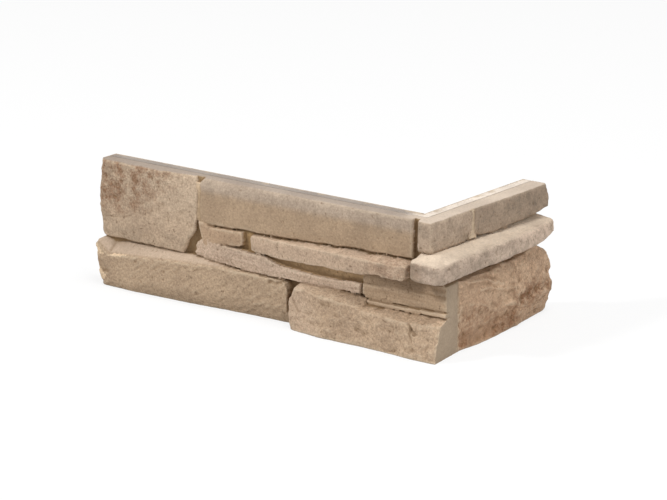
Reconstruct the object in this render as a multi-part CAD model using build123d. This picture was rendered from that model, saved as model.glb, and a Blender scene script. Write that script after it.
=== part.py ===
"""Corner cladding tile of cast concrete with a stacked-stone face, one solid casting, in millimetres.

The two flat backs meet at the inner corner, which fits over the arris of a wall. That corner's foot
is the origin: the long leg runs along -X and faces -Y, the short leg runs along +Y and faces +X, and
+Z is up. Each cast stone is where an outline drawn on its face meets a depth drawn in plan, and is
then dressed with sloping cuts and worn arrises, as the quarried stones in the mould were.
"""
from build123d import *
import os

# overall casting
height = 100.0
long_leg = 298.0
short_leg = 128.0
backing = 14.0
joint = 2.4

# bed joints: the heights at which one course of stones ends and the next begins
lower_bed = 37.0
middle_bed = 51.0
upper_bed = 66.0
corner_bed = 57.0
cap_bed = 77.5

# upright joints, as distances from the inner corner
upper_split = 200.0
pebble_split = 150.0
slate_split = 43.0
lower_split = 104.0
cap_split = 34.0

# where the long leg's upper stones end and the stones that turn the corner begin
ashlar_end = 1.5
ledge_end = 3.5
corner_start = 10.0

# how far each stone stands out from the wall face
rugged_proud = 20.0
ashlar_proud = 18.5
cap_proud = 20.5
pebble_proud = 20.5
ledge_proud = 30.0
corner_proud = 35.0
slate_proud = 21.5
seam_proud = 19.5
leaf_proud = 23.0
leaf_step = 1.8
plinth_proud = 28.0
block_proud = 36.0
boulder_proud = 33.0

# the smooth cheek beside the short leg's boulder, where the long leg's lower stones end
cheek_front = 36.5
cheek_back = 31.5

# worn arrises
soft_arris = 3.0
worn_arris = 1.8
fine_arris = 0.7

# the parting line cast into the top edge
parting_inset = 7.7
parting_width = 1.0
parting_depth = 0.9

# longer than any stone is deep, for the cutting prisms
reach = 70.0


def ragged(*sides):
    """Outline drawn anticlockwise: each corner with how far its next side wanders out (+) or in (-)."""
    points = []
    for number, (corner, wander) in enumerate(sides):
        start, end = Vector(*corner), Vector(*sides[(number + 1) % len(sides)][0])
        run = end - start
        outward = Vector(run.Y, -run.X).normalized()
        points.append((start.X, start.Y))
        for place, step in enumerate(wander, 1):
            point = start + run * (place / (len(wander) + 1)) + outward * step
            points.append((point.X, point.Y))
    return points


def seen_on_long_leg(points):
    """A prism whose outline is drawn in x and z on the long leg's face."""
    return extrude(Plane.XZ * Polygon(*points, align=None), amount=reach)


def seen_on_short_leg(points):
    """A prism whose outline is drawn in y and z on the short leg's face."""
    return extrude(Plane.YZ * Polygon(*points, align=None), amount=reach)


def seen_from_above(points):
    """A prism whose outline is drawn in x and y."""
    return extrude(Polygon(*points, align=None), amount=height)


def long_leg_depth(left, right, proud, shallower):
    """Plan outline from x = left to right that falls short of the proud depth at even spacing."""
    step = (right - left) / (len(shallower) - 1)
    front = [(left + number * step, less - proud) for number, less in enumerate(shallower)]
    return seen_from_above([(right, 0), (left, 0)] + front)


def short_leg_depth(near, far, proud, shallower):
    """Plan outline from y = near to far that falls short of the proud depth at even spacing."""
    step = (far - near) / (len(shallower) - 1)
    front = [(proud - less, near + number * step) for number, less in enumerate(shallower)]
    return seen_from_above([(0, far), (0, near)] + front)


def split_off(stone, place, outward):
    """The stone without what lies beyond a plane through a place."""
    waste = Box(4 * reach + long_leg, 4 * reach + long_leg, reach, align=(Align.CENTER, Align.CENTER, Align.MIN))
    return stone - Plane(origin=place, z_dir=outward) * waste


def hewn(stone, first, second, third):
    """The stone dressed back to the plane through three points."""
    a, b, c = Vector(*first), Vector(*second), Vector(*third)
    outward = (b - a).cross(c - a).normalized()
    if outward.dot(stone.center() - a) > 0:
        outward = outward * -1
    return split_off(stone, a, outward)


def chipped(stone, place, facing, lean):
    """The stone broken back to a plane at a place, facing a way in plan and leaning up (+) or down (-)."""
    return split_off(stone, place, Vector(1, 0, 0).rotate(Axis.Y, -lean).rotate(Axis.Z, facing))


def worn(stone, radius):
    """The stone with the arrises of its face rounded, where two faces meet at a clear angle."""
    sides = {}
    for face in stone.faces():
        for edge in face.edges():
            sides.setdefault(edge.wrapped.TShape(), []).append((edge, face))
    arrises = []
    for pairs in sides.values():
        edge, middle = pairs[0][0], pairs[0][0].center()
        normals = [face.normal_at(middle) for _, face in pairs]
        if max(-middle.Y, middle.X) > backing and normals[0].get_angle(normals[-1]) > 40:
            arrises.append(edge)
    return fillet(arrises, radius)


def rugged_stone():
    """Square quarry-faced stone at the head of the long leg's free end."""
    outline = ragged(
        ((-long_leg + 3, lower_bed + joint), (-0.4, -1.2, -0.4)),
        ((-upper_split - 13, lower_bed + joint - 0.6), (4, 5, 4)),
        ((-upper_split - joint / 2, height), ()),
        ((-long_leg + 1, height), (0, 4, 0.5)))
    depth = long_leg_depth(-long_leg - 4, -upper_split, rugged_proud, (3, 1, 0, 0.3, 1.4))
    stone = worn(seen_on_long_leg(outline) & depth, worn_arris)
    stone = chipped(stone, (-long_leg + 6, 1.5 - rugged_proud, lower_bed + 14), -98, -7)
    return chipped(stone, (-upper_split - 16, -rugged_proud, height - 22), -84, 7)


def ashlar_stone():
    """Long smooth-faced stone along the head of the long leg."""
    outline = ragged(
        ((-upper_split + joint / 2, upper_bed - 3), (0.8, 0, 0, -0.3, -0.6)),
        ((ashlar_end, upper_bed + 3.5), ()),
        ((ashlar_end, height), ()),
        ((-upper_split + 5, height), (1.2,)),
        ((-upper_split + joint / 2, height - 5), ()))
    depth = long_leg_depth(-upper_split, ashlar_end + 1, ashlar_proud, (0.8, 0, 0.3, 0, 0.4, 0.2))
    stone = worn(seen_on_long_leg(outline) & depth, soft_arris)
    return hewn(stone, (-upper_split, -ashlar_proud, height - 6), (ashlar_end, -ashlar_proud, height - 1.5),
                (-upper_split, -ashlar_proud + 3.7, height))


def cap_corner_stone():
    """Small stone that turns the corner at the head."""
    left = ashlar_end + 5
    far = cap_split - joint / 2
    plan = seen_from_above([(0, 0), (left, 0), (left, -cap_proud), (cap_proud, -cap_proud), (cap_proud, far), (0, far)])
    outline = ragged(
        ((-reach, cap_bed - 1), ()), ((far - 10, cap_bed - 1), ()), ((far, cap_bed + 4), ()),
        ((far, height), ()), ((-reach, height), ()))
    return worn(plan & seen_on_short_leg(outline), worn_arris)


def cap_stone():
    """Stone along the head of the short leg, out to its free end."""
    outline = ragged(
        ((cap_split + joint / 2, cap_bed + 2), (2, 2.6, 2.2, 1.2)),
        ((short_leg - 1, cap_bed + 3.3), ()),
        ((short_leg + 2, (cap_bed + height) / 2), ()),
        ((short_leg, height), ()),
        ((cap_split + joint / 2, height), ()))
    depth = short_leg_depth(cap_split, short_leg + 3, cap_proud + 2.5, (2, 1, 0, 0, 0.6))
    return worn(seen_on_short_leg(outline) & depth, min(soft_arris, (height - cap_bed) / 7))


def pebble_stone():
    """Short rounded stone below the ashlar."""
    outline = ragged(
        ((-upper_split + 8, middle_bed + 0.6), (0.5, 0.3)),
        ((-pebble_split - 8, middle_bed + 0.2), ()),
        ((-pebble_split - 5, upper_bed - 2), ()),
        ((-upper_split + 2, upper_bed - 3.2), (0.4,)))
    depth = long_leg_depth(-upper_split, -pebble_split, pebble_proud, (2, 0, 0, 1.5))
    return worn(seen_on_long_leg(outline) & depth, min(soft_arris, (upper_bed - middle_bed) / 6))


def ledge_stone():
    """Long stone whose head slopes out below the ashlar as a ledge, deepest at the corner."""
    outline = ragged(
        ((-pebble_split + 4, middle_bed + 1), (1.9, 2.5, 2.7, 2.3, 1.5)),
        ((ledge_end, middle_bed + 4), (1.4,)),
        ((ledge_end + 0.5, upper_bed + 4), (1.2, 0.8)),
        ((-pebble_split + 1.5, upper_bed - 2), ()))
    depth = long_leg_depth(-pebble_split, ledge_end + 3, ledge_proud, (10, 6, 3, 0.5, -1))
    stone = seen_on_long_leg(outline) & depth
    head = hewn(stone, (-lower_split, -ashlar_proud, upper_bed + 0.5), (0, -ashlar_proud, upper_bed + 4),
                (-20, -ledge_proud, upper_bed + 0.2))
    return worn(head, min(worn_arris, (upper_bed - middle_bed) / 8))


def corner_stone():
    """Deep band that turns the corner and runs along the short leg as a ledge."""
    front = [(corner_start, -corner_proud + 4), (corner_start + 4, -corner_proud), (corner_proud - 1, -corner_proud),
             (corner_proud + 4, -corner_proud + 5)]
    side = [(corner_proud + 2, 10), (corner_proud + 0.5, 60), (corner_proud - 3.5, short_leg - 22),
            (corner_proud - 7, short_leg - 1), (cap_proud + 4, short_leg + 4)]
    plan = seen_from_above([(corner_start, 0)] + front + side + [(0, short_leg + 4), (0, 0)])
    stone = plan & Pos(0, 0, corner_bed + 1) * Box(
        4 * reach, 4 * reach, cap_bed - corner_bed + 1, align=(Align.CENTER, Align.CENTER, Align.MIN))
    stone = worn(stone, worn_arris)
    stone = hewn(stone, (cap_proud, 0, cap_bed + 1), (cap_proud, short_leg, cap_bed + 0.5),
                 (corner_proud, 0, cap_bed - 3))
    stone = hewn(stone, (0, -cap_proud, cap_bed + 1), (corner_proud, -cap_proud, cap_bed),
                 (corner_start, -corner_proud, cap_bed - 3))
    stone = hewn(stone, (corner_proud + 4, -corner_proud, corner_bed + 3), (corner_proud + 2, 10, corner_bed + 3),
                 (corner_proud, -corner_proud, cap_bed - 3))
    stone = chipped(stone, (cap_proud + 3, short_leg, cap_bed - 6), 138, 48)
    return chipped(stone, (cap_proud + 8, short_leg + 2, corner_bed + 7), 75, -27)


def slate_stone():
    """Long thin riven stone in the middle course."""
    outline = ragged(
        ((-upper_split + 2, lower_bed + 1), (-0.5, -0.8, 0.6, 0.8, 0.4)),
        ((-slate_split - joint / 2, lower_bed - 1.8), ()),
        ((-slate_split - joint / 2, middle_bed - 5.5), (-0.6, 0.6)),
        ((-pebble_split + 22, middle_bed - 3), ()),
        ((-upper_split + 20, middle_bed - 0.6), ()),
        ((-upper_split + 1, middle_bed - 5.5), ()))
    depth = long_leg_depth(-upper_split, -slate_split, slate_proud, (1, 0, 0.5, 0, 0.3, 0.6))
    return worn(seen_on_long_leg(outline) & depth, min(fine_arris, (middle_bed - lower_bed) / 20))


def seam_stone():
    """Layered stone below the corner band, with two thin leaves stepping out at its foot."""
    body = seen_on_long_leg([
        (-slate_split + 0.6, lower_bed - 1), (-slate_split + 6, lower_bed - 4.5), (cheek_front, lower_bed - 3.5),
        (cheek_front, corner_bed + 1.5), (-slate_split + 0.6, corner_bed)])
    body = worn(body & long_leg_depth(-slate_split, cheek_front, seam_proud, (0.5, 0, 0.3, 0)), fine_arris)
    for proud, head in ((leaf_proud - leaf_step, lower_bed - 2.8), (leaf_proud, lower_bed - 2.8 - leaf_step)):
        leaf = seen_on_long_leg([
            (-slate_split + 7, head - 1), (-slate_split + 8, lower_bed - 9), (cheek_front, lower_bed - 9),
            (cheek_front, head)])
        body += leaf & long_leg_depth(-slate_split, cheek_front, proud, (0.6, 0, 0))
    return body


def plinth_stone():
    """Long low stone at the foot of the free end, with a broad slope dressed along its head."""
    outline = ragged(
        ((-long_leg + 6, 0), ()),
        ((-lower_split - 8, 0), (1,)),
        ((-lower_split - 8, lower_bed - 3), ()),
        ((-lower_split - 13, lower_bed - 1.6), (-0.6, 0.3, 0.3)),
        ((-long_leg + 2.5, lower_bed + 0.6), ()),
        ((-long_leg, lower_bed - 7), ()),
        ((-long_leg - 0.5, lower_bed - 19), ()))
    depth = long_leg_depth(-long_leg - 1, -lower_split, plinth_proud, (5, 0, 0.5, 1, 2, 4))
    stone = worn(seen_on_long_leg(outline) & depth, worn_arris)
    stone = hewn(stone, (-long_leg + 36, -plinth_proud + 0.5, lower_bed - 8.7),
                 (-lower_split - 69, -plinth_proud + 2, lower_bed - 3.4), (-long_leg + 48, -plinth_proud + 10, lower_bed))
    stone = hewn(stone, (-long_leg + 8, -plinth_proud + 4, 0), (-lower_split - 4, -plinth_proud + 11, 0),
                 (-upper_split, -plinth_proud + 1, 14))
    stone = chipped(stone, (-long_leg + 7, 3 - plinth_proud, 20), -118, -8)
    return chipped(stone, (-long_leg + 5, 4.5 - plinth_proud, 24), -112, 24)


def block_stone():
    """Deep block at the foot of the long leg beside the corner."""
    outline = ragged(
        ((-lower_split + 8, 0), ()),
        ((cheek_front + 1, 0), ()),
        ((cheek_front + 1, lower_bed - 5), ()),
        ((-slate_split + 20, lower_bed - 5), ()),
        ((-slate_split - 3, lower_bed - 1.5), ()),
        ((-lower_split + 12, lower_bed + 0.2), ()),
        ((-lower_split + 6, lower_bed - 1), ()),
        ((-lower_split - 1, lower_bed - 18), ()),
        ((-lower_split + 2, 4), ()))
    depth = long_leg_depth(-lower_split + 1, cheek_front + 1, block_proud, (6, 2, 2.5, 3, 1, -1, -2))
    stone = worn(seen_on_long_leg(outline) & depth, worn_arris)
    stone = hewn(stone, (30, -block_proud - 2.3, 0), (30, 7 - block_proud, lower_bed - 8.5),
                 (-15, 5.5 - block_proud, lower_bed - 9))
    stone = hewn(stone, (30, 7 - block_proud, lower_bed - 8.5), (30, 14 - block_proud, lower_bed - 5),
                 (-slate_split - 22, 5.5 - block_proud, lower_bed - 1.4))
    return chipped(stone, (-lower_split + 3, 5 - block_proud, 10), -132, 4)


def boulder_stone():
    """Rough boulder at the foot of the short leg."""
    outline = ragged(
        ((-2, 0), ()),
        ((short_leg - 3, 0), (1, 3)),
        ((short_leg + 5, 18), (-1, 0.5)),
        ((short_leg - 1, corner_bed - 12), ()),
        ((short_leg - 14, corner_bed - 1), ()),
        ((-2, corner_bed - 1), ()))
    depth = short_leg_depth(-2, short_leg + 6, boulder_proud, (1.5, 0, 0.5, 1.5, 2.5, 4, 6))
    stone = worn(seen_on_short_leg(outline) & depth, worn_arris)
    stone = hewn(stone, (boulder_proud - 1.5, -2, 0), (boulder_proud - 9, short_leg, 0), (boulder_proud, -2, 14))
    stone = hewn(stone, (boulder_proud, -2, 44), (boulder_proud - 3, 60, 42), (boulder_proud - 2, -2, corner_bed))
    stone = chipped(stone, (boulder_proud - 0.7, 38, 12), -4, -7)
    stone = chipped(stone, (boulder_proud - 1, 30, 42), -3, 13)
    stone = chipped(stone, (boulder_proud - 2.5, 66, 44), 5, 24)
    stone = chipped(stone, (boulder_proud - 3, 86, 10), 8, -20)
    return chipped(stone, (boulder_proud - 4, 104, 36), 12, 10)


def wall_backing():
    """The two plain legs that every stone is cast onto, seen in the open joints."""
    return seen_from_above([
        (0, 0), (-long_leg + 7, 0), (-long_leg + 7, -backing), (backing, -backing), (backing, short_leg - 6),
        (0, short_leg - 6)])


def parting_groove():
    """Shallow line around the head of both legs."""
    inner, outer = parting_inset, parting_inset + parting_width
    plan = Polygon(
        (-long_leg - reach, -inner), (-long_leg - reach, -outer), (outer, -outer), (outer, short_leg + reach),
        (inner, short_leg + reach), (inner, -inner), align=None)
    return extrude(Pos(0, 0, height - parting_depth) * plan, amount=2 * parting_depth)


def corner_tile():
    """The whole casting."""
    beside_cheek = seam_stone() + block_stone()
    beside_cheek = hewn(beside_cheek, (cheek_front, -corner_proud, 0), (cheek_back, -2, 0), (cheek_back, -2, height))
    tile = wall_backing() + [
        beside_cheek, rugged_stone(), ashlar_stone(), cap_corner_stone(), cap_stone(), pebble_stone(), ledge_stone(),
        corner_stone(), slate_stone(), plinth_stone(), boulder_stone()]
    return tile - parting_groove()


tile = corner_tile()
os.makedirs("parts", exist_ok=True)
export_step(tile, "parts/corner_tile.step")
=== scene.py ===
import itertools
import math

import bpy
import numpy as np
from mathutils import Matrix, Vector


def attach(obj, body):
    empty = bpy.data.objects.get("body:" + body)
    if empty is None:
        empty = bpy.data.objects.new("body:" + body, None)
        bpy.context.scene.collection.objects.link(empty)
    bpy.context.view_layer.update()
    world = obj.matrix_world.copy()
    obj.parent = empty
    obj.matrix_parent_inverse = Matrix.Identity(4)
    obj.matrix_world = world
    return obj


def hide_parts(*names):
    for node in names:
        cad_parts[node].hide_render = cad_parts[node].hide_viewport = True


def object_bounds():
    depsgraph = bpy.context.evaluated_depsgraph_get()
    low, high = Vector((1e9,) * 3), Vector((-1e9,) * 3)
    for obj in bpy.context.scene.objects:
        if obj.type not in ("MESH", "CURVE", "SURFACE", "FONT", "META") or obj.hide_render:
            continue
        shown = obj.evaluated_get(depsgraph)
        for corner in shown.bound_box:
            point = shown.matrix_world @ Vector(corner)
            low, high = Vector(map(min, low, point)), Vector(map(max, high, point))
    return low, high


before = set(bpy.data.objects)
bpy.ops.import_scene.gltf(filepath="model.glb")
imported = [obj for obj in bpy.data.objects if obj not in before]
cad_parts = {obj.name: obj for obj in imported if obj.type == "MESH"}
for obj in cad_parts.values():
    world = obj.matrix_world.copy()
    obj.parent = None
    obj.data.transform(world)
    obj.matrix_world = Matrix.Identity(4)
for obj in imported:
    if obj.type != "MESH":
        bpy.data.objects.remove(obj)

cad_box = [list(corner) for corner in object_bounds()]


# The long leg's cast face. One side of a single casting of tinted concrete, poured in a rubber mould
# taken from dry-stacked stone: each stone is an outline on the face, proud of a plain 14 mm backing.
HEIGHT = round(cad_box[1][2] * 1000, 3)    # millimetres, as on a mould maker's drawing; the mesh is in metres
BACKING = 14.0
PITCH = 0.5            # from one point of a sheet to the next
BAND_BED = 58.0        # where the corner band starts, and the smooth cheek below it ends
CHEEK_FRONT = 36.5     # how far beyond the inner corner the cheek stands out at the face

gradients = np.random.default_rng(11).normal(size=(256, 3))
gradients /= np.linalg.norm(gradients, axis=1, keepdims=True)
shuffle = np.random.default_rng(12).permutation(256)


def swell(points, size, seed):
    """Gradient noise, about -1 to 1: random slopes on a lattice of one size, blended by a quintic fade."""
    place = points / size + np.array([seed * 7.31, seed * 3.17, seed * 5.93])
    cell = np.floor(place).astype(int)
    inner = place - cell
    fade = inner ** 3 * (inner * (inner * 6 - 15) + 10)
    total = np.zeros(len(points))
    for corner in itertools.product((0, 1), repeat=3):
        cx, cy, cz = (cell + corner).T & 255
        slope = gradients[shuffle[(shuffle[(shuffle[cx] + cy) & 255] + cz) & 255]]
        weight = np.prod(np.where(corner, fade, 1 - fade), axis=1)
        total += weight * np.sum(slope * (inner - corner), axis=1)
    return total * 1.6


def rubble(points, size, seed, layers=3):
    """Noise summed over layers, each half the size and half the strength of the one before."""
    return sum(swell(points, size / 2 ** n, seed + n) / 2 ** n for n in range(layers))


def step(low, high, value):
    """Smooth rise from 0 at low to 1 at high."""
    t = np.clip((value - low) / (high - low), 0, 1)
    return t * t * (3 - 2 * t)


def linear(red, green, blue):
    """A colour as it is seen, 0 to 255, made linear for the shader."""
    return [((c / 255 + 0.055) / 1.055) ** 2.4 for c in (red, green, blue)]


def eased(first, second, blend):
    """The lesser of two depths, the crease where they meet rounded over the given difference."""
    return np.minimum(first, second) - np.maximum(blend - np.abs(first - second), 0) ** 2 / (4 * blend)


def within(along, up, outline):
    """Distance from each point in to the nearest side of an outline, negative outside it."""
    nearest = np.full(along.shape, 1e9)
    crossings = np.zeros(along.shape, bool)
    for (a, b), (c, d) in zip(outline, outline[1:] + outline[:1]):
        run = np.array([c - a, d - b], float)
        t = np.clip(((along - a) * run[0] + (up - b) * run[1]) / run.dot(run), 0, 1)
        nearest = np.minimum(nearest, np.hypot(along - a - t * run[0], up - b - t * run[1]))
        if d != b:
            crossings ^= ((b > up) != (d > up)) & (along < (c - a) * (up - b) / (d - b) + a)
    return np.where(crossings, nearest, -nearest)


class CastFace:
    """A face as a depth over two parameters, along the leg and up, with each point's colour and tooling."""

    def __init__(self, along, up, near, far, seed, tone):
        """Starts as the plain backing; near and far are the face's two ends at each height."""
        self.along, self.up = along, up
        self.margin = np.minimum.reduce([along - near, far - along, up, HEIGHT - up]) + 0.4
        flat = np.stack([along.ravel(), np.full(along.size, seed * 37.0), up.ravel()], axis=1)
        calm = step(0, 4, self.margin)
        sideways = 0.8 * swell(flat, 17, seed) + 0.4 * swell(flat, 5, seed + 1)
        upward = 0.7 * swell(flat, 19, seed + 2) + 0.35 * swell(flat, 5.5, seed + 3)
        self.wander_along = calm * sideways.reshape(calm.shape)
        self.wander_up = calm * upward.reshape(calm.shape)
        self.wear = 1 + 0.5 * swell(flat, 11, seed + 4).reshape(calm.shape)
        self.depth = np.full(calm.shape, BACKING)
        self.tone = np.tile(np.array(tone + [0.0]), calm.shape + (1,))
        self.hand = np.tile(np.array([0.3, 0.0, 0.0, 0.0]), calm.shape + (1,))
        self.stain = np.zeros(calm.shape)

    def lay(self, outline, proud, arris, tone, patina=0.0, stain=0.0, grit=0.5, lumps=0.0, leaves=0.0,
            tooling=0.0):
        """Lays a stone: its depth, less a quarter-round of the arris radius towards its rim or the face's."""
        inner = within(self.along + self.wander_along, self.up + self.wander_up, outline)
        inner = np.minimum(inner, self.margin)
        radius = np.maximum(arris * self.wear, 0.3)
        rim = np.clip(inner, 0, radius)
        depth = proud - radius + np.sqrt(np.maximum(2 * radius * rim - rim * rim, 0))
        taken = (inner > 0) & (depth > self.depth)
        self.depth = np.where(taken, depth, self.depth)
        for held, new in ((self.tone, tone + [patina]), (self.hand, [grit, lumps, leaves, tooling])):
            for number, value in enumerate(new):
                held[..., number] = np.where(taken, value, held[..., number])
        self.stain = np.where(taken, stain, self.stain)


def bell(line, along, up, width, most):
    """A crack's drop, a ridge's rise or a stain's strength: most on its line, then down a bell of a width."""
    nearest = np.full(along.shape, 1e9)
    for (a, b), (c, d) in zip(line, line[1:]):
        run = np.array([c - a, d - b], float)
        t = np.clip(((along - a) * run[0] + (up - b) * run[1]) / run.dot(run), 0, 1)
        nearest = np.minimum(nearest, np.hypot(along - a - t * run[0], up - b - t * run[1]))
    return most * np.exp(-(nearest / width) ** 2)


def between(front, back, marks):
    """The closed skin between two sheets of points on like grids: both, and four strips at their edges."""
    rows, columns = front.shape[:2]
    index = np.arange(rows * columns).reshape(rows, columns)
    other = index + rows * columns

    def quads(grid):
        """The four-sided faces of a grid: each point, the next along, the one across and the next up."""
        return np.stack([grid[:-1, :-1], grid[:-1, 1:], grid[1:, 1:], grid[1:, :-1]], axis=-1).reshape(-1, 4)

    strips = [quads(index), quads(other)[:, ::-1], quads(np.stack([other[0], index[0]])),
              quads(np.stack([index[-1], other[-1]])), quads(np.stack([other[:, 0], index[:, 0]], axis=1)),
              quads(np.stack([index[:, -1], other[:, -1]], axis=1))]
    points = np.concatenate([front.reshape(-1, 3), back.reshape(-1, 3)])
    return points, np.concatenate(strips), [np.concatenate([m, m]) for m in marks]


joint_tone = linear(150, 125, 94)
column, z = np.meshgrid(np.arange(-300, 36.6, PITCH), np.arange(0, HEIGHT + 0.1, PITCH))
ragged = 0.5 * swell(np.stack([0 * z[:, 0], 0 * z[:, 0], z[:, 0]], axis=1), 5, 8)[:, None]
free_end = ragged + np.interp(
    z, [0, 4, 10, 18, 26, 30, 35, 37.5, 39, 42, 50, 60, 69.5, 80, 90, 100],
    [-292.3, -294.8, -297.8, -299.4, -298, -299.8, -299.4, -295.2, -295.2, -297.5, -297.2, -298.2, -300.4,
     -298, -296.4, -296.6])
x = np.where(column < -270, free_end + (column + 300) * (-270 - free_end) / 30, column)
long_face = CastFace(x, z, free_end, np.where(z < BAND_BED, CHEEK_FRONT, 60), 1, joint_tone)


# Head course of the long leg: a square quarry-faced stone at the free end and a long smooth ashlar.
# Both are part of the one casting; the quarry face is sandy with a rusty corner, the ashlar has a grey bloom.
def graded(low, high, share):
    """A colour that goes from one to another: the first, plus each point's share of the difference."""
    return [start + (end - start) * share for start, end in zip(low, high)]


# The quarry-faced stone falls away at both ends and has a fine crack near its foot.
rugged_depth = np.interp(x, [-302, -277, -251, -226, -200], [17.5, 19, 20, 19.7, 18.6])
rugged_depth = np.minimum(rugged_depth, 18.5 + 0.14 * (x + 292) + 0.12 * (z - 51))
rugged_depth = np.minimum(rugged_depth, 20 - 0.1 * (x + 216) - 0.12 * (z - 78))
rugged_depth = rugged_depth - bell([(-293, 54.6), (-283, 55.2), (-270, 57.6), (-263, 60.3)],
                                   x + long_face.wander_along, z + long_face.wander_up, 0.6, 0.6)
rusty = step(-212, -275, x - 1.1 * (z - 78)) * step(54, 66, z)
long_face.lay(
    [(-312, 38.6), (-290, 38.4), (-254, 38.8), (-227, 38.4), (-214.5, 38), (-210, 47.6), (-204.3, 56.5),
     (-202.4, 63.4), (-200.4, 76.8), (-200.9, 89), (-202.6, 96), (-204, 110), (-312, 110)],
    rugged_depth, 1.8 + 1.6 * step(92, 98, z),
    graded(linear(179, 157, 134), linear(189, 168, 145), step(50, 84, z) * step(-285, -255, x)),
    patina=0.15 + 0.45 * step(58, 46, z), stain=1.25 * rusty, grit=0.85 + 1.0 * rusty, lumps=0.6)

# The ashlar, its head drawn back over the last 6 mm.
ashlar_depth = np.interp(x, [-199, -159, -118, -78, -38, 2], [17.7, 18.5, 18.2, 18.5, 18.1, 18.3])
ashlar_depth = eased(ashlar_depth, 18.8 - 0.62 * (z - 94 - 0.025 * (x + 199)), 1.6)
long_face.lay(
    [(-199.3, 64.4), (-192, 63.4), (-177, 64), (-153, 64.7), (-121.6, 65.6), (-90, 67), (-52, 68.5),
     (-20, 69.1), (1.5, 69.6), (1.5, 110), (-193, 110), (-195.5, 99.6), (-199.1, 95.5)],
    ashlar_depth, 2.2, graded(linear(168, 145, 120), linear(176, 158, 140), step(86, 93, z)),
    patina=0.65 * step(78, 92, z), grit=0.5)
# A joint that is filled higher than the backing is laid like a stone, with next to no arris.
joint_arris = 0.3
long_face.lay([(-204, 65), (-197, 65), (-196, 95), (-203, 95)], 16.8, joint_arris, linear(204, 180, 151),
              grit=0.3)


# Middle courses of the long leg: a pebble, a long ledge whose head slopes out under the ashlar, a riven
# slate, and the layered stone under the corner band, with a thin leaf along the shallow joint at its foot.
def darkened(tone, loss, share):
    """A colour with each part of it lessened by its own loss, times each point's share."""
    return [part * (1 - less * share) for part, less in zip(tone, loss)]


# The pebble, rounded from end to end.
long_face.lay(
    [(-200.2, 66), (-199, 60), (-195.8, 52), (-194, 47), (-183, 47), (-182, 50.4), (-170, 50.9),
     (-159, 51.6), (-156.8, 53.2), (-156.2, 58.5), (-156.8, 63.1), (-177, 62.9), (-184, 62.9), (-190, 63.6),
     (-195, 66)],
    19.4 - 0.0012 * (x + 175) ** 2, 1.3, linear(176, 150, 124), grit=0.8, lumps=0.2)

# The long ledge, 20 mm proud at its free end and 31 mm beside the corner, where it is lumpy.
ledge_depth = np.interp(x, [-146, -108, -70, -32, 6.5], [20.5, 24, 27, 29.5, 31])
ledge_depth = eased(ledge_depth, 18.8 + 0.1238 * (x + 104) - 3.678 * (z - 65.7), 0.6)
bumpy_end = step(-48, -14, x)
long_face.lay(
    [(-146.5, 51.6), (-142, 50.4), (-119, 50.2), (-95, 51), (-68, 52.3), (-43, 52.9), (-36, 53.1),
     (-33, 54.3), (-20, 54.7), (-8, 54.4), (1, 55.2), (4.2, 58), (4.7, 66), (3.6, 68.4), (-52, 67.3),
     (-95, 65.8), (-119, 64.5), (-146.5, 63.4), (-147.8, 61.4), (-147.2, 57)],
    ledge_depth, 1.4, linear(190, 166, 143), patina=0.35 + 0.3 * step(-110, -60, x), stain=0.6 * bumpy_end,
    grit=0.8 + 0.6 * bumpy_end, lumps=0.15 + 0.5 * bumpy_end)

# The joints between the ledge and the slate and between the pebble and the ledge, their fills coloured
# lighter than the backing: partly the joints' own colour, partly painted bounce light in the recesses.
for joint, filled, joint_colour_and_bounce_light in (
        ([(-134, 41), (-43, 41), (-43, 54), (-134, 53)], 16.4, linear(192, 163, 126)),
        ([(-158, 46), (-145, 46), (-145, 64), (-158, 64)], 14.6, linear(176, 146, 106))):
    long_face.lay(joint, filled, joint_arris, joint_colour_and_bounce_light, grit=0.4)

# The riven slate, a thin wedge.
long_face.lay(
    [(-193.5, 52.2), (-197.5, 51.2), (-201, 48.8), (-203.3, 46), (-202.3, 43), (-204.7, 40), (-202, 38),
     (-190.5, 37), (-168, 36.2), (-144, 34.9), (-112.3, 34.2), (-80, 35), (-62.5, 35.4), (-44.4, 35.2),
     (-44.2, 44), (-63, 42.8), (-88, 42.9), (-106, 43.6), (-122, 45.3), (-128, 46.6), (-132.5, 48.8),
     (-146.5, 49.2), (-158, 50), (-182, 50.4)],
    np.interp(x, [-203, -190, -168, -137, -106, -75, -43], [17.3, 19.2, 20.8, 21, 21.5, 21.2, 20.9]), 0.6,
    linear(199, 176, 155), patina=0.1, grit=1.1, lumps=0.3, leaves=0.5)

# The layered stone, with painted shade on its upper part where the ledge and band above shadow it, then the
# joint and the leaf at its foot.
long_face.lay(
    [(-42.9, 36), (-40, 33.2), (-36, 32.8), (0, 33.6), (42, 34.9), (42, 62), (-42.6, 62)],
    19.6, 0.8, darkened(linear(175, 151, 125), (0.24, 0.26, 0.28), step(43, 50, z + 0.12 * x)), patina=0.1,
    grit=0.6, leaves=0.7)
long_face.lay([(-37, 28), (36, 28), (36, 36), (-37, 34)], 17.4, joint_arris, linear(170, 142, 108), grit=0.4)
long_face.lay([(-38, 32), (-37, 29.3), (0, 29.7), (42, 30.6), (42, 34.1), (0, 32.8)], 21, 0.5,
              linear(190, 166, 140), grit=0.4, leaves=0.15)


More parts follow.
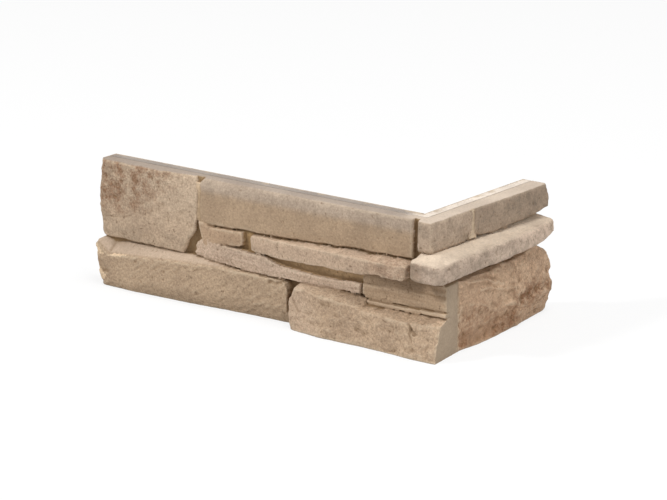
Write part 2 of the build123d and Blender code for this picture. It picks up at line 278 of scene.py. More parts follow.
# Foot course of the long leg: a long plinth tooled aslant, its head dressed to a broad slope and its free
# end chipped, and a deep block beside the corner with a rough split face that leans back.
# The plinth: how high its arris runs, how proud it stands above and at the foot, and two falls at its end.
plinth_arris = np.interp(x, [-300, -293, -285, -262, -228, -204, -173, -150, -126, -108],
                         [33, 29.5, 25.5, 28.3, 30.8, 32.2, 33.6, 34, 33.4, 33])
plinth_stations = [-299, -290, -259, -233, -205, -180, -155, -115]
plinth_depth = np.interp(x, plinth_stations, [22, 24, 27.5, 27.5, 27, 26, 25, 23])
plinth_depth = eased(plinth_depth, plinth_depth - 1.25 * (z - plinth_arris), 0.5)
plinth_foot = np.interp(x, plinth_stations, [20, 22.6, 23.9, 22.9, 22, 20.2, 18.6, 17.5])
plinth_depth = eased(plinth_depth, plinth_foot + 0.46 * z, 1.0)
plinth_depth = np.minimum(plinth_depth, 25.2 + 0.45 * (x + 291) + 0.12 * (z - 20))
plinth_depth = np.minimum(plinth_depth,
                          26.5 + 0.32 * (x + 280) + 0.2 * (z - 16) + 0.9 * np.maximum(12 - z, 0))
plinth_depth = plinth_depth - bell([(-127, 31.5), (-122, 30.4), (-117.5, 31.6)],
                                   x + long_face.wander_along, z + long_face.wander_up, 1.5, 1.6)
dressed = step(0.5, 2.5, z - plinth_arris)
long_face.lay(
    [(-312, -10), (-110.4, -10), (-110.4, 17), (-110.8, 22), (-111.5, 28), (-113.5, 32.4), (-117, 33.3),
     (-130, 33.7), (-153, 34.6), (-172, 35.6), (-188, 36.7), (-200, 37.4), (-250, 37.9), (-297, 37.8),
     (-312, 37.8)],
    plinth_depth, 1.5, graded(linear(176, 153, 128), linear(189, 168, 147), dressed), patina=0.1,
    stain=0.3 * step(-272, -294, x) * step(27, 20, z), grit=1.0 - 0.8 * dressed, lumps=0.3 * (1 - dressed),
    tooling=0.8 * (1 - dressed))
for chip in ([(-312, 25), (-296, 24), (-289, 25.5), (-293, 28), (-297, 32), (-312, 33.5)],
             [(-312, 3), (-296, 3), (-289, 5), (-287.5, 8.5), (-293, 11), (-298, 15), (-312, 15)],
             [(-287, 25.2), (-279, 25), (-270, 26.8), (-264, 29), (-272, 28.6), (-280, 27.8)]):
    long_face.lay(chip, plinth_depth + 0.1, 0.6, linear(220, 194, 162), grit=1.0, lumps=0.5)

# The block: a face that leans back, an arris that drops to the right, and a slope above it up to the head.
block_face = np.interp(x, [-104, -98, -86, -73, -51, -29, -6, 6, 18, 30, 36.5],
                       [29.6, 31.8, 33.1, 35.1, 34.9, 35, 36, 37.2, 37.9, 38.3, 37.6])
block_face = block_face - z * np.interp(x, [-100, -15, 10, 36], [0.06, 0.12, 0.22, 0.31])
block_arris = np.interp(x, [-104, -92, -80, -62, -48, -36, -15, 10, 36],
                        [33, 32.6, 31.8, 31, 29.6, 27.6, 25.8, 25.6, 26.4])
block_lean = np.interp(x, [-50, -38], [2.2, 3.4])
block_depth = eased(block_face, block_face - block_lean * (z - block_arris), 2.2)
block_depth = np.minimum(block_depth, 31 + 0.9 * (x + 102) + 0.1 * (z - 10))
block_depth = np.minimum(block_depth, 18 + 1.9 * (x + 110.6) + 0.8 * np.maximum(z - 22, 0))
broken = 0.5 + rubble(np.stack([x.ravel(), 0 * x.ravel(), z.ravel()], axis=1), 7, 91).reshape(x.shape)
for crack in ([(9, 25), (11.5, 20.5), (10.5, 17), (13.5, 12)], [(11.5, 20.5), (15, 17.5)]):
    block_depth = block_depth - np.clip(broken, 0, 1) * bell(
        crack, x + long_face.wander_along, z + long_face.wander_up, 0.8, 1.5)
# Painted light: the slope above the block's arris, towards the corner, is coloured lighter where it faces up
# under the overhang.
painted_light_on_head = step(-2, 1, z - block_arris) * step(-44, -30, x)
rosy_shoulder = step(-78, -100, x + 0.6 * z - 20)
block_tone = [part * (1 + 0.16 * painted_light_on_head + gain * rosy_shoulder)
              for part, gain in zip(linear(181, 157, 132), (0.1, 0.12, 0.17))]
long_face.lay(
    [(-102, -10), (-103, 0), (-109, 2.5), (-111.6, 5), (-111.6, 18), (-107, 22.5), (-102.5, 28), (-98, 34),
     (-95, 34.9), (-80, 34.9), (-62, 35), (-50, 34.6), (-43, 33.4), (-39, 31.4), (-36.5, 28.6), (0, 28.9),
     (42, 29.7), (42, -10)],
    block_depth, 1.7, block_tone, patina=0.1, grit=1.2, lumps=0.95 + 0.3 * step(-20, 10, x))


# The long leg's body, from the cast face to the flat back that is bonded to the wall. Below the corner band
# it stops at a smooth cheek that leans in slightly and is set back just under the band.
cheek_back = 31.5
cheek_lean = 0.147
shadow_gap = 2.5 * step(53.6, 54.4, z)
under_cap = 12
drawn_from = 7


def along_long_leg(depth):
    """Where each column lies at a depth: as on the face, but past a line drawn in to the cheek or the cap."""
    last = np.where(z < BAND_BED, cheek_back + cheek_lean * (depth - 2) - shadow_gap, under_cap)
    drawn_in = drawn_from + (x - drawn_from) * (last - drawn_from) / (CHEEK_FRONT - drawn_from)
    return np.where(x > drawn_from, drawn_in, x)


long_body = between(
    np.stack([along_long_leg(long_face.depth), -long_face.depth, z], axis=-1),
    np.stack([along_long_leg(np.zeros_like(x)), np.zeros_like(x), z], axis=-1),
    [long_face.tone.reshape(-1, 4), long_face.hand.reshape(-1, 4), long_face.stain.ravel()])


# The short leg: a rough boulder, rusty in patches, below the corner band, and one smooth stone above it
# that runs out to the leg's end. Its flat back meets the long leg's back at a right angle.
column, z = np.meshgrid(np.arange(-2, 136.1, PITCH), np.arange(0, HEIGHT + 0.1, PITCH))
ragged = 0.5 * swell(np.stack([0 * z[:, 0], 0 * z[:, 0], z[:, 0]], axis=1), 6, 9)[:, None]
far_end = ragged + np.interp(
    z, [0, 3.5, 9, 14.6, 21, 26, 30, 34, 41, 48.6, 56.5, 57.5, 78, 79, 81, 87.7, 92, 97.7, 100],
    [124.6, 128, 130.8, 133, 133, 131.5, 129, 132.2, 129.8, 124.6, 116, 122, 122, 124.6, 130, 131.2, 130.6,
     128, 127])
y = np.where(column < 105, column, 105 + (column - 105) * (far_end - 105) / 31)
short_face = CastFace(y, z, -2.0, far_end, 5, joint_tone)

# The boulder: seven split facets, most of them falling to the right, with four ridges left between them.
boulder_depth = np.interp(y, [-2, 20, 45, 62, 72, 94, 115, 134], [33, 33.2, 32.4, 31.2, 30.3, 29.4, 28.4, 25])
foot_depth = np.interp(y, [-2, 14, 34, 57, 82, 100, 124, 134], [33, 32.9, 32.1, 30.3, 29.3, 28, 25.6, 24.6])
for facet in (foot_depth + 0.2 * z,
              33 - 0.045 * (y + 2) - 0.15 * (z - 44), 34.6 + 0.1 * (z - 12) + 0.06 * (y - 38),
              32 - 0.23 * (z - 42) + 0.052 * (y - 30), 30.5 - 0.38 * (z - 44) - 0.08 * (y - 66),
              30 + 0.364 * (z - 10) - 0.14 * (y - 86), 29.5 - 0.176 * (z - 36) - 0.21 * (y - 104)):
    boulder_depth = eased(boulder_depth, facet, 0.8)
broken = 0.7 + 0.6 * step(30, 80, y) + 0.7 * step(40, 14, z)
set_back = (0.65 + 0.7 * step(58, 44, y)) * step(0, 5, z) * (0.5 + 0.5 * step(122, 104, y))
boulder_depth = boulder_depth - set_back * broken
for ridge, high in (([(15, 49), (23, 48), (37, 47), (46, 42), (57, 39)], 1.4),
                    ([(28, 41), (39, 40), (58, 35), (74, 32), (78, 26)], 1.3),
                    ([(12, 33), (26, 31), (36, 26)], 0.8), ([(60, 22), (76, 19), (92, 13)], 0.9)):
    boulder_depth = boulder_depth + bell(
        ridge, y + short_face.wander_along, z + short_face.wander_up, 1.5, high)
rusty = 0.3 + sum(bell(line, y, z, width, much) for line, width, much in (
    ([(80, 26), (100, 21), (124, 23)], 9, 1.1), ([(50, 3), (72, 9)], 8, 1.1), ([(5, -4), (7, 20)], 7, 1.0),
    ([(18, 24), (48, 20)], 8, 0.8), ([(86, 12), (98, 17)], 7, 0.5), ([(38, 47), (48, 46)], 4, 0.5)))
granular = step(48, 92, y)
short_face.lay(
    [(0.8, -10), (150, -10), (150, 40), (128, 48), (118, 53), (111, 57), (107, 55.4), (102, 53.6), (94, 52.6),
     (80, 51.8), (64, 52.4), (53, 51.6), (43, 51.3), (27, 52), (16, 51.6), (9, 51.8), (4, 53.2), (0.8, 53.6)],
    boulder_depth, 1.6, darkened(linear(200, 170, 142), (0.27, 0.34, 0.39), step(24, 6, z) * step(96, 60, y)),
    stain=rusty, patina=0.3, grit=0.7 + 0.8 * granular, lumps=0.95 * broken,
    leaves=0.4 * step(16, 30, z) * (1 - granular))

# The smooth stone at the head, and the joint between it and the cap.
short_face.lay(
    [(34.1, 110), (34.1, 82), (35.6, 79.4), (41.5, 78.2), (59, 77), (71, 77.2), (93, 77.9), (116, 79.4),
     (127, 80.8), (150, 81.5), (150, 110)],
    np.interp(y, [35, 59, 83, 107, 131], [20.9, 21.7, 22.2, 22.2, 21.5]), 2.3, linear(162, 143, 124),
    patina=1.1, grit=0.6, lumps=0.3)
short_face.lay([(28, 77), (38, 77), (38, 110), (28, 110)], 20.0, joint_arris, linear(202, 182, 157), grit=0.2)

short_body = between(
    np.stack([short_face.depth, y, z], axis=-1), np.stack([np.zeros_like(y), y, z], axis=-1),
    [short_face.tone.reshape(-1, 4), short_face.hand.reshape(-1, 4), short_face.stain.ravel()])


# The two stones that turn the corner: a small cap at the head and the deep band below it, which runs on
# along the short leg as a ledge. Each is a vertical section carried along the plan line of its outer face.
def carried(line, inner_line, section, seed, tone, patina, stain, grit, lumps):
    """Carries a section, pairs of height and inset, along a plan line, set in towards a like inner line."""
    line, inner_line, section = (np.array(path, float) for path in (line, inner_line, section))
    lengths = np.concatenate([[0], np.cumsum(np.linalg.norm(np.diff(line, axis=0), axis=1))])
    run = np.arange(0, lengths[-1], PITCH)
    outer = np.stack([np.interp(run, lengths, line[:, n]) for n in (0, 1)], axis=1)
    inner = np.stack([np.interp(run, lengths, inner_line[:, n]) for n in (0, 1)], axis=1)
    soft = np.ones(7) / 7
    outer = np.stack([np.convolve(np.pad(outer[:, n], 3, "edge"), soft, "valid") for n in (0, 1)], axis=1)
    heights = np.concatenate([[0], np.cumsum(np.linalg.norm(np.diff(section, axis=0), axis=1))])
    rise = np.arange(0, heights[-1], PITCH)
    level, inset = (np.interp(rise, heights, section[:, n]) for n in (0, 1))
    spot = np.stack([np.tile(run, (len(rise), 1)).ravel(), np.full(run.size * rise.size, seed * 19.0),
                     np.repeat(rise, len(run))], axis=1)
    waver = (0.7 * swell(spot, 16, seed) + 0.35 * swell(spot, 5, seed + 1)).reshape(len(rise), len(run))
    inward = inner - outer
    inward /= np.linalg.norm(inward, axis=1, keepdims=True)
    flat = outer + inward * (inset[:, None, None] + np.maximum(waver, -0.4)[..., None])
    front = np.concatenate([flat, np.broadcast_to(level[:, None, None], flat.shape[:2] + (1,))], axis=-1)
    back = np.concatenate([np.broadcast_to(inner, flat.shape), front[..., 2:]], axis=-1)
    count = run.size * rise.size
    marks = [np.tile(np.array(tone + [patina]), (count, 1)),
             np.tile(np.array([grit, lumps, 0, 0]), (count, 1)), np.full(count, stain)]
    return front, back, marks


# The cap, its lower corner beside the smooth stone rounded off.
cap_front, cap_back, cap_marks = carried(
    [(6.5, -17), (8, -20.5), (20.5, -20.5), (20.5, 31.5), (19, 33)],
    [(6.5, -3), (6.5, -3), (3, 3), (3, 31.5), (3, 33)],
    [(76.6, 1.6), (77.4, 0.5), (79, 0), (97.4, 0), (99, 0.5), (99.8, 1.3), (100, 3)],
    seed=31, tone=linear(177, 157, 137), patina=0.9, stain=0.0, grit=0.6, lumps=0.2)
round_corner = np.interp(cap_front[..., 1], [20, 25.5, 28.5, 30.5, 32.5], [76.6, 77.6, 79.6, 82.6, 88])
cap_front[..., 2] = np.maximum(cap_front[..., 2], round_corner)
cap_back[..., 2] = cap_front[..., 2]
cap_body = between(cap_front, cap_back, cap_marks)

# The band, darker where it faces the long leg and painted lighter towards its far end, with both ends drawn
# to a nose and a wavering upper arris.
band_front, band_back, band_marks = carried(
    [(8.8, -29), (11.8, -35), (34, -35), (39, -30), (36.7, 10), (35.2, 60), (33.3, 90), (31.4, 106),
     (29.6, 118), (28, 127), (25, 132.5), (17, 133.5)],
    [(10, -3), (10, -3), (8, -3), (4, 3), (4, 10), (4, 60), (4, 90), (4, 106), (4, 118),
     (4, 124), (4, 127), (4, 128)],
    [(BAND_BED, 2), (59, 0.6), (60.6, 0), (70.4, 0.5), (71.8, 1.2), (72.7, 2.6), (73.6, 7), (74.6, 11),
     (75.4, 14), (76, 19)],
    seed=41, tone=linear(189, 169, 151), patina=1.05, stain=0.0, grit=0.6, lumps=0.35)
# Painted light: the band's colour grows lighter towards the short leg's far end, where the fill light would
# fall more strongly.
painted_light_far_end = 0.3 * step(45, 105, band_front[..., 1].ravel())
turned = step(28, 16, band_front[..., 0].ravel()) * step(-20, -26, band_front[..., 1].ravel())
band_marks[0][:, :3] *= 1 + painted_light_far_end[:, None] - turned[:, None] * np.array([0.24, 0.28, 0.33])
nose = np.maximum(band_front[..., 1] - 96, 0)
start = np.maximum(17 - band_front[..., 0], 0) * (band_front[..., 1] < -20)
band_front[..., 2] = np.clip(band_front[..., 2], BAND_BED + 0.18 * nose + 0.1 * start ** 2,
                             79.5 - 0.016 * np.maximum(nose - 14, 0) ** 2)
rim = step(65, 70.5, band_front[..., 2]) * step(76, 73, band_front[..., 2])
in_plan = band_front.reshape(-1, 3) * np.array([1.0, 1.0, 0.0])
band_front[..., 2] += -0.8 * rim + 1.1 * rim * rubble(in_plan, 13, 83).reshape(rim.shape)
band_back[..., 2] = band_front[..., 2]
band_body = between(band_front, band_back, band_marks)


# The casting: the four skins are fused to one, then every face gets the relief that its stone was tooled or
# split with, and the line that the mould's parting left round the head is cut in.
bodies = [long_body, short_body, cap_body, band_body]
offsets = np.cumsum([0] + [len(points) for points, _, _ in bodies])
points = np.concatenate([points for points, _, _ in bodies])
quads = np.concatenate([faces + offset for (_, faces, _), offset in zip(bodies, offsets)])
tone, hand, stain = (np.concatenate([marks[n] for _, _, marks in bodies]) for n in range(3))

voxel = 0.0008         # the fused skin's grain, in metres
most_triangles = 180000


def mark(mesh, name, values):
    """Writes one value or four for each point of a mesh, into an attribute made where it isn't there yet."""
    kind, field = ("FLOAT", "value") if values.ndim == 1 else ("FLOAT_COLOR", "color")
    held = mesh.attributes.get(name) or mesh.attributes.new(name, kind, "POINT")
    held.data.foreach_set(field, values.ravel().astype(np.float32))


def read(values, field, count):
    """One whole array out of a mesh collection, a row of the given count for each of its items."""
    out = np.empty(len(values) * count, np.float32)
    values.foreach_get(field, out)
    return out.reshape(-1, count).astype(float)


def settle(mesh, spot):
    """Puts a mesh's points at the given places in mm, none of them outside the CAD solid's box."""
    spot = np.clip(spot, *(np.array(cad_box) * 1000))
    mesh.vertices.foreach_set("co", (spot * 0.001).astype(np.float32).ravel())
    return spot


mesh = bpy.data.meshes.new("cladding_tile")
mesh.from_pydata(points * 0.001, [], quads)
for name, values in (("tone", tone), ("hand", hand), ("stain", stain)):
    mark(mesh, name, values)
tile = bpy.data.objects.new("cladding_tile", mesh)
bpy.context.scene.collection.objects.link(tile)
bpy.context.view_layer.objects.active = tile
tile.select_set(True)
mesh.remesh_voxel_size = voxel
mesh.use_remesh_preserve_attributes = True
bpy.ops.object.voxel_remesh()
mesh = tile.data


def relief(spot, hand):
    """How far each point stands in or out of its stone, in mm: the sum of sand grit, split lumps and facets,
    riven leaves, strokes of the tool aslant and small blow holes, each by its share in the stone's hand."""
    x, y, z = spot.T
    grit, lumps, leaves, tooling = hand.T
    out = grit * (0.16 * swell(spot, 3.2, 51) + 0.12 * swell(spot, 2.2, 52) + 0.25 * swell(spot, 6, 53))
    lying = spot * np.array([0.72, 0.72, 1.2])
    facets = np.abs(swell(lying, 24, 54)) + 0.45 * np.abs(swell(lying, 12, 55))
    out += lumps * (1.1 * swell(lying, 26, 56) + 0.8 * swell(lying, 12, 57) - 1.0 * facets + 0.4)
    out += lumps * (0.5 * swell(lying, 6, 65) - 0.6 * step(0.1, 0.6, swell(lying, 7, 64)))
    layered = np.stack([x * 0.09, y * 0.09, z + 0.25 * np.maximum(y, 0)], axis=1)
    out += leaves * (0.55 * swell(layered, 2.6, 58) + 0.35 * swell(layered, 1.7, 59) - 0.2)
    aslant = np.stack([(x * 0.87 + z * 0.5) * 0.16, y, z * 0.87 - x * 0.5], axis=1)
    out += tooling * (0.45 * swell(aslant, 3.2, 60) + 0.4 * swell(aslant, 2.0, 61))
    holes = step(0.42, 0.75, swell(spot, 3.4, 62)) * step(0, 0.5, swell(spot, 30, 63) + 0.3)
    return out - 0.45 * holes


def on_cheek(spot, normal, below, behind, beyond):
    """How far each point is of the cheek: faces +X, and lies below, behind and beyond three soft limits."""
    x, y, z = spot.T
    return step(0.8, 0.95, normal[:, 0]) * step(*below, z) * step(*behind, y) * step(*beyond, x)


spot = read(mesh.vertices, "co", 3) * 1000
normal = read(mesh.vertex_normals, "vector", 3)
hand = read(mesh.attributes["hand"].data, "color", 4)
x, y, z = spot.T
smooth = on_cheek(spot, normal, (59, 57), (-1, -3), (28, 30))
share = step(0, 5, np.maximum(-y, x)) * step(0, 2.2, HEIGHT - z) * step(0, 1.8, z) * (1 - smooth)
spot += normal * (share * relief(spot, hand))[:, None]
broken_end = np.maximum(step(-0.4, -0.9, normal[:, 0]) * (x < -284), step(0.4, 0.9, normal[:, 1]) * (y > 112))
worn_flat = (1 - share) * 0.12 * np.minimum(rubble(spot, 9, 71), 0)
spot += normal * (worn_flat - 1.1 * broken_end * np.abs(rubble(spot, 11, 75)))[:, None]
settle(mesh, spot)
mesh.update()

parting_inset, parting_half, parting_floor = 8.2, 0.4, 98.7
groove_line = np.array([(-320, -parting_inset), (parting_inset, -parting_inset), (parting_inset, 150)])
groove_rise = np.array([parting_floor, HEIGHT + 1])
outward = np.array([parting_half, -parting_half])
groove_sides = [np.concatenate([np.broadcast_to(groove_line + side, (2, 3, 2)),
                                np.broadcast_to(groove_rise[:, None, None], (2, 3, 1))], axis=-1)
                for side in (outward, -outward)]
groove_points, groove_quads, _ = between(*groove_sides, [])
groove = bpy.data.objects.new("groove", bpy.data.meshes.new("groove"))
groove.data.from_pydata(groove_points * 0.001, [], groove_quads)
bpy.context.scene.collection.objects.link(groove)
thinned = tile.modifiers.new("thinned", "DECIMATE")
thinned.ratio = most_triangles / (2 * len(mesh.polygons))
parted = tile.modifiers.new("parted", "BOOLEAN")
parted.operation, parted.solver, parted.object = "DIFFERENCE", "MANIFOLD", groove
solid = bpy.data.meshes.new_from_object(tile.evaluated_get(bpy.context.evaluated_depsgraph_get()))
tile.modifiers.clear()
tile.data = solid
bpy.data.objects.remove(groove)
mesh = tile.data

mesh.shade_smooth()
mesh.set_sharp_from_angle(angle=math.radians(55))
spot = settle(mesh, read(mesh.vertices, "co", 3) * 1000)
normal = read(mesh.vertex_normals, "vector", 3)

# How far each point stands out of its neighbours' mean, taken 4 and 24 times over, as a share of a full depth
# in mm for each: a crease comes out negative and an arris positive.
full_depth = {4: 0.35, 24: 1.6}
edges = np.empty(len(mesh.edges) * 2, np.int32)
mesh.edges.foreach_get("vertices", edges)
near, far = edges.reshape(-1, 2).T
ends_of, others = np.concatenate([near, far]), np.concatenate([far, near])
neighbours = np.bincount(ends_of, minlength=len(spot))
mean = spot.copy()
hollow = np.zeros(len(spot))
for times_over in range(1, 25):
    sums = [np.bincount(ends_of, mean[others, n], len(spot)) for n in range(3)]
    mean = np.stack(sums, axis=1) / neighbours[:, None]
    if times_over in full_depth:
        hollow += np.sum((spot - mean) * normal, axis=1) / full_depth[times_over]

# The faces that the mould left flat take their own colours and a finer hand: head, ledge, bed, back, cheek.
# Painted shade goes on the parting groove's walls, and a painted shadow in a strip under the corner band.
x, y, z = spot.T
facing_up = normal[:, 2]
from_back = np.maximum(-y, x)
cut = (np.abs(from_back - parting_inset) < parting_half + 0.05) & (z > parting_floor - 0.1)
# Painted shade: the parting groove's walls are coloured dark so that the groove reads as a shaded line.
painted_shade_groove_wall = cut & (z < 99.4)
head = np.where(cut, z > 99.4, step(0.55, 0.9, facing_up) * step(98.6, 99.6, z))
behind_cut = from_back < parting_inset + 0.1
on_short = step(-14, 4, x)
back = step(1.2, 0.4, from_back)
bed_or_back = np.maximum(step(0.7, 0.1, z), back)
cheek = on_cheek(spot, normal, (59, 57.5), (-1.2, -2.6), (29, 30.5))
# Painted shadow: a dark strip on the cheek and on the boulder's recess just under the corner band, where the
# band shades them.
painted_shadow_under_band = step(53.0, 54.4, z) * step(58.8, 58, z) * step(24, 27, x) * step(100, 92, y)
painted_shadow_under_band = 0.85 * painted_shadow_under_band * step(0.6, 0.2, np.abs(facing_up))
ledge_top = step(0, 6, x) * step(70, 73, z) * step(90, 82, z)
ledge_top = ledge_top * step(0.45, 0.9, facing_up + 0.16 * rubble(spot, 7, 84))
tone = read(mesh.attributes["tone"].data, "color", 4)
for share, colour in ((head * (1 - on_short), linear(164, 150, 137) + [0.1]),
                      (head * (1 - on_short) * behind_cut, linear(156, 146, 137) + [0.1]),
                      (head * on_short, linear(200, 184, 167) + [0.0]),
                      (head * on_short * behind_cut, linear(226, 214, 200) + [0.0]),
                      (ledge_top, linear(214, 196, 175) + [0.1]),
                      (bed_or_back, linear(190, 172, 150) + [0.35]),
                      (cheek, linear(164, 146, 125) + [0.0]),
                      (painted_shadow_under_band, linear(112, 86, 62) + [0.0]),
                      (painted_shade_groove_wall, linear(104, 86, 68) + [0.0])):
    tone += (np.array(colour) - tone) * share[:, None]
plain = np.maximum.reduce([head, bed_or_back, cheek, 0.85 * ledge_top])
smooth_hand = np.stack([0.12 + 0.6 * back, *np.zeros((3, len(back)))], axis=1)
hand = read(mesh.attributes["hand"].data, "color", 4)
hand += (smooth_hand - hand) * plain[:, None]
stain = read(mesh.attributes["stain"].data, "value", 1)[:, 0] * (1 - plain)
hollow = np.where(cut, 0, np.clip(hollow, -2, 2) * (1 - np.maximum.reduce([head, cheek, 0.8 * ledge_top])))
for name, values in (("tone", tone), ("hand", hand), ("stain", stain), ("hollow", hollow)):
    mark(mesh, name, values)
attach(tile, "root")
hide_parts("corner_tile")

concrete = bpy.data.materials.new("cast_concrete")
concrete.use_nodes = True
nodes, links = concrete.node_tree.nodes, concrete.node_tree.links
shader = nodes["Principled BSDF"]
shader.inputs["Roughness"].default_value = 0.92
shader.inputs["Specular IOR Level"].default_value = 0.18


def feed(socket, value):
    """Links a node's output to a socket, or writes a plain value into it."""
    if hasattr(value, "links"):
        links.new(value, socket)
    else:
        socket.default_value = value


def marks_of(name):
    """The colour, share and alpha that the mesh carries under a name."""
    made = nodes.new("ShaderNodeAttribute")
    made.attribute_name = name
    return made.outputs


def cloud(scale, detail, roughness=0.6, place=None):
    """Noise in the concrete at a scale per metre."""
    made = nodes.new("ShaderNodeTexNoise")
    for name, value in (("Scale", scale), ("Detail", detail), ("Roughness", roughness)):
        made.inputs[name].default_value = value
    links.new(place or where, made.inputs["Vector"])
    return made.outputs["Fac"]


def spread(value, low, high, to_low=0.0, to_high=1.0):
    """Stretches a share between two levels to another pair."""
    made = nodes.new("ShaderNodeMapRange")
    for number, setting in enumerate((value, low, high, to_low, to_high)):
        feed(made.inputs[number], setting)
    return made.outputs[0]


def times(first, second, operation="MULTIPLY"):
    """Two shares multiplied, or worked together by another operation."""
    made = nodes.new("ShaderNodeMath")
    made.operation = operation
    feed(made.inputs[0], first)
    feed(made.inputs[1], second)
    return made.outputs[0]


def laid(share, under, over, blend="MIX"):
    """One colour laid over another by a share."""
    made = nodes.new("ShaderNodeMix")
    made.data_type, made.blend_type = "RGBA", blend
    feed(made.inputs["Factor"], share)
    feed(made.inputs["A"], under)
    feed(made.inputs["B"], over)
    return made.outputs["Result"]


where = nodes.new("ShaderNodeTexCoord").outputs["Object"]
bloom_grey = (*linear(122, 109, 94), 1)
rust_brown = (*linear(124, 84, 55), 1)
leaf_shade = (*linear(128, 104, 78), 1)
pit_shade = (*linear(110, 88, 66), 1)
crease_dirt_and_shade = (*linear(122, 98, 70), 1)
ridge_highlight_sand = (*linear(218, 200, 174), 1)
darker, lighter = (0.88, 0.87, 0.87, 1), (1.08, 1.08, 1.08, 1)
dark_sand, light_sand = (0.56, 0.54, 0.52, 1), (1.36, 1.36, 1.36, 1)
tone_marks, hand_marks, stain_marks, hollow_marks = (marks_of(n) for n in ("tone", "hand", "stain", "hollow"))
colour = tone_marks["Color"]
colour = laid(spread(cloud(26, 4), 0.35, 0.65), laid(1.0, colour, darker, "MULTIPLY"),
              laid(1.0, colour, lighter, "MULTIPLY"))
bloom = times(spread(cloud(120, 6, 0.72), 0.44, 0.66), tone_marks["Alpha"])
colour = laid(times(bloom, 0.6), colour, bloom_grey)
rust = times(spread(cloud(95, 7, 0.75), 0.43, 0.57), stain_marks["Fac"])
colour = laid(times(rust, 0.55), colour, rust_brown)
hand_parts = nodes.new("ShaderNodeSeparateColor")
links.new(hand_marks["Color"], hand_parts.inputs["Color"])
grit, leaves = hand_parts.outputs["Red"], hand_parts.outputs["Blue"]
bedded = nodes.new("ShaderNodeMapping")
bedded.inputs["Scale"].default_value = (0.06, 0.06, 1.0)
links.new(where, bedded.inputs["Vector"])
streaks = times(spread(cloud(420, 4, 0.6, bedded.outputs["Vector"]), 0.56, 0.44), leaves)
colour = laid(times(streaks, 0.4), colour, leaf_shade)
sand = cloud(620, 3, 0.7)
sandy = laid(1.0, colour, laid(spread(sand, 0.32, 0.68), dark_sand, light_sand), "MULTIPLY")
colour = laid(spread(grit, 0, 1.5, 0.22, 0.8), colour, sandy)
pit = times(spread(cloud(330, 2, 0.5), 0.36, 0.28), spread(grit, 0.1, 0.6))
colour = laid(times(pit, 0.6), colour, pit_shade)
# Creases are darkened where the hollow measure is negative: partly dirt, partly painted shade.
colour = laid(spread(hollow_marks["Fac"], -0.25, -1.3, 0, 0.5), colour, crease_dirt_and_shade)
# Painted highlight: ridges and arrises are lightened towards a pale sand colour, less where the grey bloom is
# strong.
painted_ridge_highlight = times(spread(hollow_marks["Fac"], 0.3, 1.5, 0, 0.32), spread(tone_marks["Alpha"], 0, 1, 1, 0.2))
colour = laid(painted_ridge_highlight, colour, ridge_highlight_sand)
links.new(colour, shader.inputs["Base Color"])

grain_height = times(times(sand, 0.35), times(cloud(1500, 2, 0.6), 0.12), "ADD")
bump = nodes.new("ShaderNodeBump")
bump.inputs["Strength"].default_value = 1.0
bump.inputs["Distance"].default_value = 0.0016
links.new(times(grain_height, spread(grit, 0, 1, 0.3, 1.25)), bump.inputs["Height"])
links.new(bump.outputs["Normal"], shader.inputs["Normal"])
mesh.materials.clear()
mesh.materials.append(concrete)
mesh.polygons.foreach_set("material_index", np.zeros(len(mesh.polygons), np.int32))


# Studio: a white table, a large soft key from the front left and above, a wide lamp overhead and a weaker
# fill from the right. The camera stands and looks as worked out from the photograph's edges, in metres.
camera_place = (1.6095, -2.2273, 0.8403)
camera_yaw, camera_pitch = math.radians(37.25), math.radians(15.62)
film_width, lens = 36, 209.6
tile_middle = Vector((-0.1, 0, 0.05))
table = bpy.data.meshes.new("table")
table.from_pydata([(-6, -6, 0), (6, -6, 0), (6, 6, 0), (-6, 6, 0)], [], [(0, 1, 2, 3)])
floor = bpy.data.objects.new("table", table)
bpy.context.scene.collection.objects.link(floor)

view = bpy.data.objects.new("camera", bpy.data.cameras.new("camera"))
view.data.sensor_width, view.data.lens = film_width, lens
view.data.clip_end = 50
flat = math.cos(camera_pitch)
forward = Vector((-math.sin(camera_yaw) * flat, math.cos(camera_yaw) * flat, -math.sin(camera_pitch)))
turn = forward.to_track_quat("-Z", "Y").to_matrix().to_4x4()
view.matrix_world = Matrix.Translation(camera_place) @ turn
bpy.context.scene.collection.objects.link(view)
bpy.context.scene.camera = view


def lamp(name, place, size, power):
    """A square soft light aimed at the tile's middle."""
    light = bpy.data.lights.new(name, "AREA")
    light.shape, light.size, light.energy = "SQUARE", size, power
    obj = bpy.data.objects.new(name, light)
    aim = tile_middle - Vector(place)
    obj.matrix_world = Matrix.Translation(place) @ aim.to_track_quat("-Z", "Y").to_matrix().to_4x4()
    bpy.context.scene.collection.objects.link(obj)


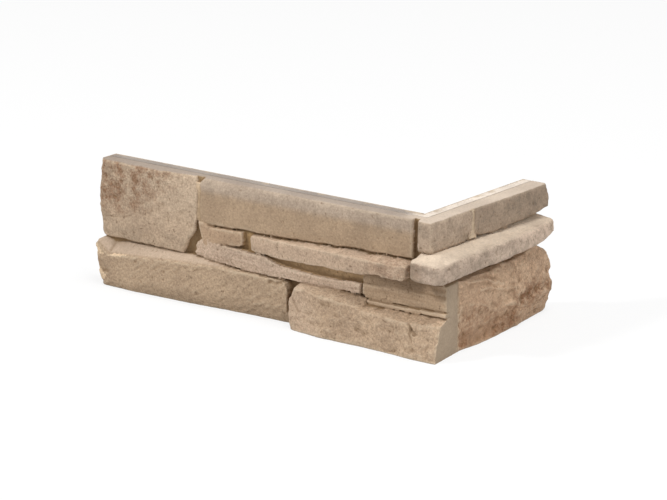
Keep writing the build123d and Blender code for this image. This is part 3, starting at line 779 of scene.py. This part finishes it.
lamp("key", (-1.85, -2.0, 2.25), 0.5, 57)
lamp("overhead", (0.5, 0.1, 2.3), 1.0, 26)
lamp("fill", (2.3, -1.35, 1.15), 0.6, 22)


def seen_straight(tree):
    """1 where the camera, a reflection or a clear pane looks, 0 for the light that bounces on."""
    path = tree.nodes.new("ShaderNodeLightPath")
    most = path.outputs["Is Camera Ray"]
    for name in ("Is Glossy Ray", "Is Transmission Ray"):
        made = tree.nodes.new("ShaderNodeMath")
        made.operation = "MAXIMUM"
        tree.links.new(most, made.inputs[0])
        tree.links.new(path.outputs[name], made.inputs[1])
        most = made.outputs[0]
    return most


world = bpy.data.worlds.new("studio")
bpy.context.scene.world = world
world.use_nodes = True
tree = world.node_tree
tree.nodes["Background"].inputs["Color"].default_value = (1, 1, 1, 1)
brightness = tree.nodes.new("ShaderNodeMapRange")
brightness.inputs["To Min"].default_value = 0.42
tree.links.new(seen_straight(tree), brightness.inputs["Value"])
tree.links.new(brightness.outputs[0], tree.nodes["Background"].inputs["Strength"])

paper = bpy.data.materials.new("table")
paper.use_nodes = True
tree = paper.node_tree
tree.nodes.remove(tree.nodes["Principled BSDF"])
lit = tree.nodes.new("ShaderNodeBsdfDiffuse")
lit.inputs["Color"].default_value = (0.7, 0.7, 0.7, 1)
seen = tree.nodes.new("ShaderNodeBsdfDiffuse")
seen.inputs["Color"].default_value = (0.2, 0.2, 0.2, 1)
glow = tree.nodes.new("ShaderNodeEmission")
glow.inputs["Strength"].default_value = 0.78
both = tree.nodes.new("ShaderNodeAddShader")
mixed = tree.nodes.new("ShaderNodeMixShader")
tree.links.new(seen.outputs[0], both.inputs[0])
tree.links.new(glow.outputs[0], both.inputs[1])
tree.links.new(seen_straight(tree), mixed.inputs["Fac"])
tree.links.new(lit.outputs[0], mixed.inputs[1])
tree.links.new(both.outputs[0], mixed.inputs[2])
tree.links.new(mixed.outputs[0], tree.nodes["Material Output"].inputs["Surface"])
table.materials.append(paper)
bpy.context.scene.view_settings.view_transform = "Standard"
